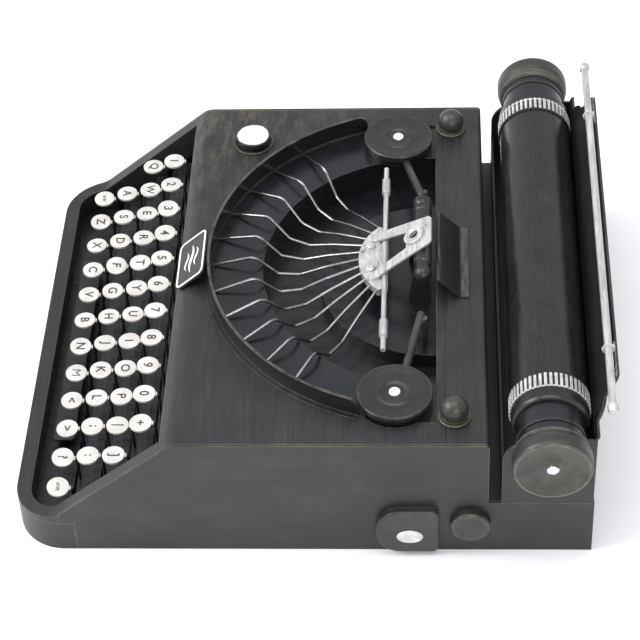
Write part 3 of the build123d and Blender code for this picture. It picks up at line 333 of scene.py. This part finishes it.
def key_material():
    s = Tree("printed_key_disc")
    blot = s.noise((140, 140, 140), 4, 0.6)
    fine = s.noise((1400, 1400, 1400), 3, 0.6)
    col = s.mix(s.ramp(blot, 0.35, 0.68), (0.50, 0.482, 0.455), (0.61, 0.595, 0.570))
    col = s.mix(s.m("MULTIPLY", s.ramp(fine, 0.66, 0.74), 0.35), col, (0.40, 0.35, 0.26))
    g = s.t.nodes.new("ShaderNodeNewGeometry")
    sp = s.t.nodes.new("ShaderNodeSeparateXYZ")
    s.t.links.new(g.outputs["Normal"], sp.inputs[0])
    side = s.ramp(sp.outputs[2], 0.75, 0.45)
    col = s.mix(s.m("MULTIPLY", side, 0.55), col, (0.30, 0.27, 0.21))
    s.put(s.bsdf.inputs["Base Color"], col)
    s.put(s.bsdf.inputs["Roughness"], s.m("MULTIPLY_ADD", fine, 0.2, 0.34))
    s.bump(fine, 0.00003, 0.4, s.bevel(0.3 * MM))
    return s.mat


def ink_material(name, a, b):
    s = Tree(name)
    n = s.noise((1100, 1100, 1100), 3, 0.6)
    s.put(s.bsdf.inputs["Base Color"], s.mix(s.ramp(n, 0.35, 0.65), a, b))
    s.put(s.bsdf.inputs["Roughness"], s.m("MULTIPLY_ADD", n, 0.2, 0.45))
    s.bump(n, 0.00002, 0.4)
    return s.mat


MATS["key"] = key_material()
MATS["ink"] = ink_material("key_ink", (0.020, 0.016, 0.013), (0.075, 0.058, 0.046))
MATS["white_ink"] = ink_material("white_paint", (0.62, 0.62, 0.60), (0.84, 0.84, 0.82))

USE = {
    "side_panel_left": "panel", "side_panel_right": "panel", "front_panel": "panel", "rear_panel": "panel",
    "deck_panel": "deck", "keyboard_frame": "frame", "key_bed": "keywell", "base_plate": "well",
    "rear_base_cover": "carriage", "carriage_rails": "steel", "basket_platform": "well", "basket_floor": "well", "basket_ledge": "well", "basket_rear_wall": "well", "guard_band": "band",
    "type_segment": "segment", "segment_stand": "well", "typebar_wires": "wire", "ribbon_vibrator": "silver",
    "vibrator_ring": "silver", "ribbon_rod": "rod", "cross_shaft": "shaft", "cross_shaft_bracket": "shaft",
    "spool_cups": "well", "spool_arms": "bronze", "dome_nuts": "bronze", "paper_shield": "shield",
    "name_plate": "plate", "name_plate_bracket": "deck", "top_knob_collar": "bronze", "side_latch": "bronze",
    "latch_boss": "boss", "fulcrum_rod": "steel", "key_return_springs": "steel", "space_bar_guides": "steel",
    "carriage_channel": "carriage", "carriage_shoes": "steel", "end_plate_left": "carriage",
    "end_plate_right": "carriage", "paper_table": "table", "paper_rod": "rod", "platen_roller": "platen",
    "platen_rings": "ring", "platen_rims": "rim", "platen_shaft": "steel", "platen_hubs": "hub",
    "platen_knobs": "knob", "spool_left": "spool_l", "spool_right": "spool_r", "space_bar": "frame",
    "top_knob": "top_knob", "side_button": "bronze",
    **{f"key_tops_row_{i}": "key" for i in range(1, 5)}, **{f"key_levers_row_{i}": "lever" for i in range(1, 5)},
}
for name, ob in NODES.items():
    mat = MATS[USE[name]]
    if not ob.data.materials:
        ob.data.materials.append(mat)
    for sl in ob.material_slots:
        sl.material = mat


# ------------------------------------------------------------------ printed legends on the key discs
def text_mesh(body, size, extrude=0.02, bold=0.0):
    cu = bpy.data.curves.new("tmp_text", "FONT")
    cu.body = body
    cu.size = size * MM
    cu.align_x, cu.align_y = "CENTER", "CENTER"
    cu.extrude = extrude * MM
    cu.offset = bold * MM
    cu.resolution_u = 4
    ob = bpy.data.objects.new("tmp_text", cu)
    bpy.context.scene.collection.objects.link(ob)
    bpy.context.view_layer.update()
    me = bpy.data.meshes.new_from_object(ob.evaluated_get(bpy.context.evaluated_depsgraph_get()))
    xs = [v.co.x for v in me.vertices]
    ys = [v.co.y for v in me.vertices]
    me.transform(Matrix.Translation((-(min(xs) + max(xs)) / 2, -(min(ys) + max(ys)) / 2, 0)))
    bpy.data.objects.remove(ob)
    bpy.data.curves.remove(cu)
    return me


def joined(name, parts, mat, body):
    bm = bmesh.new()
    for me in parts:
        bm.from_mesh(me)
        bpy.data.meshes.remove(me)
    bmesh.ops.remove_doubles(bm, verts=bm.verts, dist=1e-7)
    bmesh.ops.recalc_face_normals(bm, faces=bm.faces)
    out = bpy.data.meshes.new(name)
    bm.to_mesh(out)
    bm.free()
    out.materials.append(mat)
    ob = bpy.data.objects.new(name, out)
    bpy.context.scene.collection.objects.link(ob)
    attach(ob, body)
    return ob


PITCH = 17.9
ROWS = [(11, -69.5, 55.0), (12, -81.7, 44.0), (11, -95.1, 33.9), (12, -108.8, 22.9)]
TILTS = [
    [(0, 0), (2, -3), (-4, 14), (3, 10), (0, 2), (-2, 3), (0, -2), (2, 2), (-3, 3), (0, 4), (4, 5)],
    [(0, 0), (-2, 2), (0, -3), (-3, 2), (2, 6), (0, 5), (-4, -2), (2, 0), (0, 2), (3, 4), (-2, 5), (0, 3)],
    [(0, 4), (2, 2), (-2, 3), (-10, 24), (0, 5), (3, -2), (0, 0), (-3, 8), (2, 2), (0, 5), (4, 6)],
    [(0, 10), (-3, 12), (2, 0), (0, 6), (-2, 3), (2, 2), (-6, 14), (-4, 10), (0, 6), (2, 8), (-8, 18), (-12, 22)],
]
LEGENDS = [list("1234567890") + ["+"], list("QWERTYUIOP") + ["|", "]"], list("ASDFGHJKL") + [";", ":"],
           ["shift"] + list("ZXCVBNM") + ["<", ">", "?", "shift"]]
for row, (n, ky, kz) in enumerate(ROWS):
    parts = []
    for i, t in enumerate(LEGENDS[row]):
        rx, ry = (math.radians(0.5 * a) for a in TILTS[row][i])
        me = text_mesh(t, 2.7 if len(t) > 1 else 5.9, bold={"M": 0.0, "W": 0.06}.get(t, 0.12) if len(t) == 1 else 0.04)
        c = Vector(((i - (n - 1) / 2) * PITCH, ky, kz - 0.5)) * MM
        R = Matrix.Rotation(rx, 4, "X") @ Matrix.Rotation(ry, 4, "Y")
        me.transform(Matrix.Translation(c) @ R @ Matrix.Translation((0, 0, 0.52 * MM)))
        parts.append(me)
    joined(f"key_legends_row_{row + 1}", parts, MATS["ink"], f"key_row_{row + 1}")

# ------------------------------------------------------------------ name plate: raised white border and a plain flourish
C = Vector((0, -52.0, 69.5)) * MM
LEAN = math.radians(42)
AX, AY, AN = (Vector(v) for v in ((1, 0, 0), (0, math.cos(LEAN), math.sin(LEAN)), (0, -math.sin(LEAN), math.cos(LEAN))))
PL = Matrix((AX, AY, AN)).transposed().to_4x4()
PL.translation = C + AN * 1.2 * MM


def round_rect(w, h, r, n=7):
    pts = []
    for cx, cy, a0 in ((w / 2 - r, h / 2 - r, 0), (-w / 2 + r, h / 2 - r, 90), (-w / 2 + r, -h / 2 + r, 180),
                       (w / 2 - r, -h / 2 + r, 270)):
        for k in range(n + 1):
            a = math.radians(a0 + 90 * k / n)
            pts.append((cx + r * math.cos(a), cy + r * math.sin(a)))
    return pts


def band_mesh(outer, inner, h):
    bm = bmesh.new()
    loops = []
    for pts, z in ((outer, -0.05), (outer, h), (inner, h), (inner, -0.05)):
        loops.append([bm.verts.new((x * MM, y * MM, z * MM)) for x, y in pts])
    n = len(outer)
    for a, b in zip(loops, loops[1:] + loops[:1]):
        for k in range(n):
            bm.faces.new((a[k], a[(k + 1) % n], b[(k + 1) % n], b[k]))
    me = bpy.data.meshes.new("tmp_band")
    bm.to_mesh(me)
    bm.free()
    return me


def ribbon(points, widths, h=0.12):
    """a flat painted stroke of varying width"""
    bm = bmesh.new()
    rows = []
    for k, (x, y) in enumerate(points):
        a = points[max(k - 1, 0)]
        b = points[min(k + 1, len(points) - 1)]
        d = Vector((b[0] - a[0], b[1] - a[1])).normalized()
        w = widths[k] / 2
        nx, ny = -d.y * w, d.x * w
        rows.append([bm.verts.new(((x + s * nx) * MM, (y + s * ny) * MM, z * MM))
                     for s, z in ((1, -0.03), (1, h), (-1, h), (-1, -0.03))])
    for a, b in zip(rows, rows[1:]):
        for k in range(4):
            bm.faces.new((a[k], a[(k + 1) % 4], b[(k + 1) % 4], b[k]))
    bm.faces.new(rows[0])
    bm.faces.new(rows[-1][::-1])
    me = bpy.data.meshes.new("tmp_stroke")
    bm.to_mesh(me)
    bm.free()
    return me


plate_parts = [band_mesh(round_rect(29.8, 17.6, 3.2), round_rect(27.9, 15.7, 2.3), 0.28)]
N = 48
# three tapering brush waves, longest in the middle
for off, half, wide in ((3.1, 6.0, 1.0), (0.0, 9.2, 1.5), (-3.1, 6.0, 1.0)):
    pts = [(-half + 2 * half * k / N, off + 0.9 * math.sin(2 * math.pi * k / N)) for k in range(N + 1)]
    plate_parts.append(ribbon(pts, [0.15 + wide * math.sin(math.pi * k / N) for k in range(N + 1)]))
for me in plate_parts:
    me.transform(PL)
joined("name_plate_border", plate_parts, MATS["white_ink"], "root")

# ------------------------------------------------------------------ floor, light, camera
floor_me = bpy.data.meshes.new("studio_floor")
bm = bmesh.new()
bm.faces.new([bm.verts.new(p) for p in ((-3, -3, 0), (3, -3, 0), (3, 3, 0), (-3, 3, 0))])
bm.to_mesh(floor_me)
bm.free()
fs = Tree("pale_floor")
fs.put(fs.bsdf.inputs["Base Color"], fs.mix(fs.noise((6, 6, 6), 3, 0.5), (0.90, 0.90, 0.905), (0.93, 0.93, 0.935)))
fs.bsdf.inputs["Roughness"].default_value = 0.8
floor_me.materials.append(fs.mat)
floor = bpy.data.objects.new("studio_floor", floor_me)
bpy.context.scene.collection.objects.link(floor)
floor.location.z = -0.0002

world = bpy.data.worlds.new("studio")
world.use_nodes = True
bg = world.node_tree.nodes["Background"]
bg.inputs[0].default_value = (0.93, 0.95, 1.0, 1)
bg.inputs[1].default_value = 0.88
bpy.context.scene.world = world
bpy.context.scene.view_settings.view_transform = "Standard"


def area(name, loc, target, size, power, colour=(1, 1, 1)):
    li = bpy.data.lights.new(name, "AREA")
    li.shape = "RECTANGLE"
    li.size, li.size_y = size
    li.energy = power
    li.color = colour
    ob = bpy.data.objects.new(name, li)
    ob.location = loc
    ob.rotation_euler = (Vector(target) - Vector(loc)).to_track_quat("-Z", "Y").to_euler()
    bpy.context.scene.collection.objects.link(ob)


area("key_light", (0.1, -1.25, 1.15), (0, 0, 0.05), (1.3, 0.8), 24)
area("fill_light", (1.3, 0.35, 0.75), (0, 0, 0.04), (0.9, 0.7), 6.5)
area("top_light", (0.1, 0.0, 1.7), (0, 0, 0), (1.2, 1.2), 12)

cam = bpy.data.cameras.new("photo_camera")
cam.sensor_fit = "HORIZONTAL"
cam.sensor_width = 36
cam.lens = 122.98
cam.clip_start, cam.clip_end = 0.05, 20
co = bpy.data.objects.new("photo_camera", cam)
bpy.context.scene.collection.objects.link(co)
right, up, back = (Vector(v) for v in ((-0.03528, 0.99866, -0.03783), (-0.69382, 0.00277, 0.72015),
                                       (0.71929, 0.05166, 0.69279)))
mw = Matrix((right, up, back)).transposed().to_4x4()
mw.translation = Vector((0.74505, 0.05875, 0.74850))
co.matrix_world = mw
bpy.context.scene.camera = co
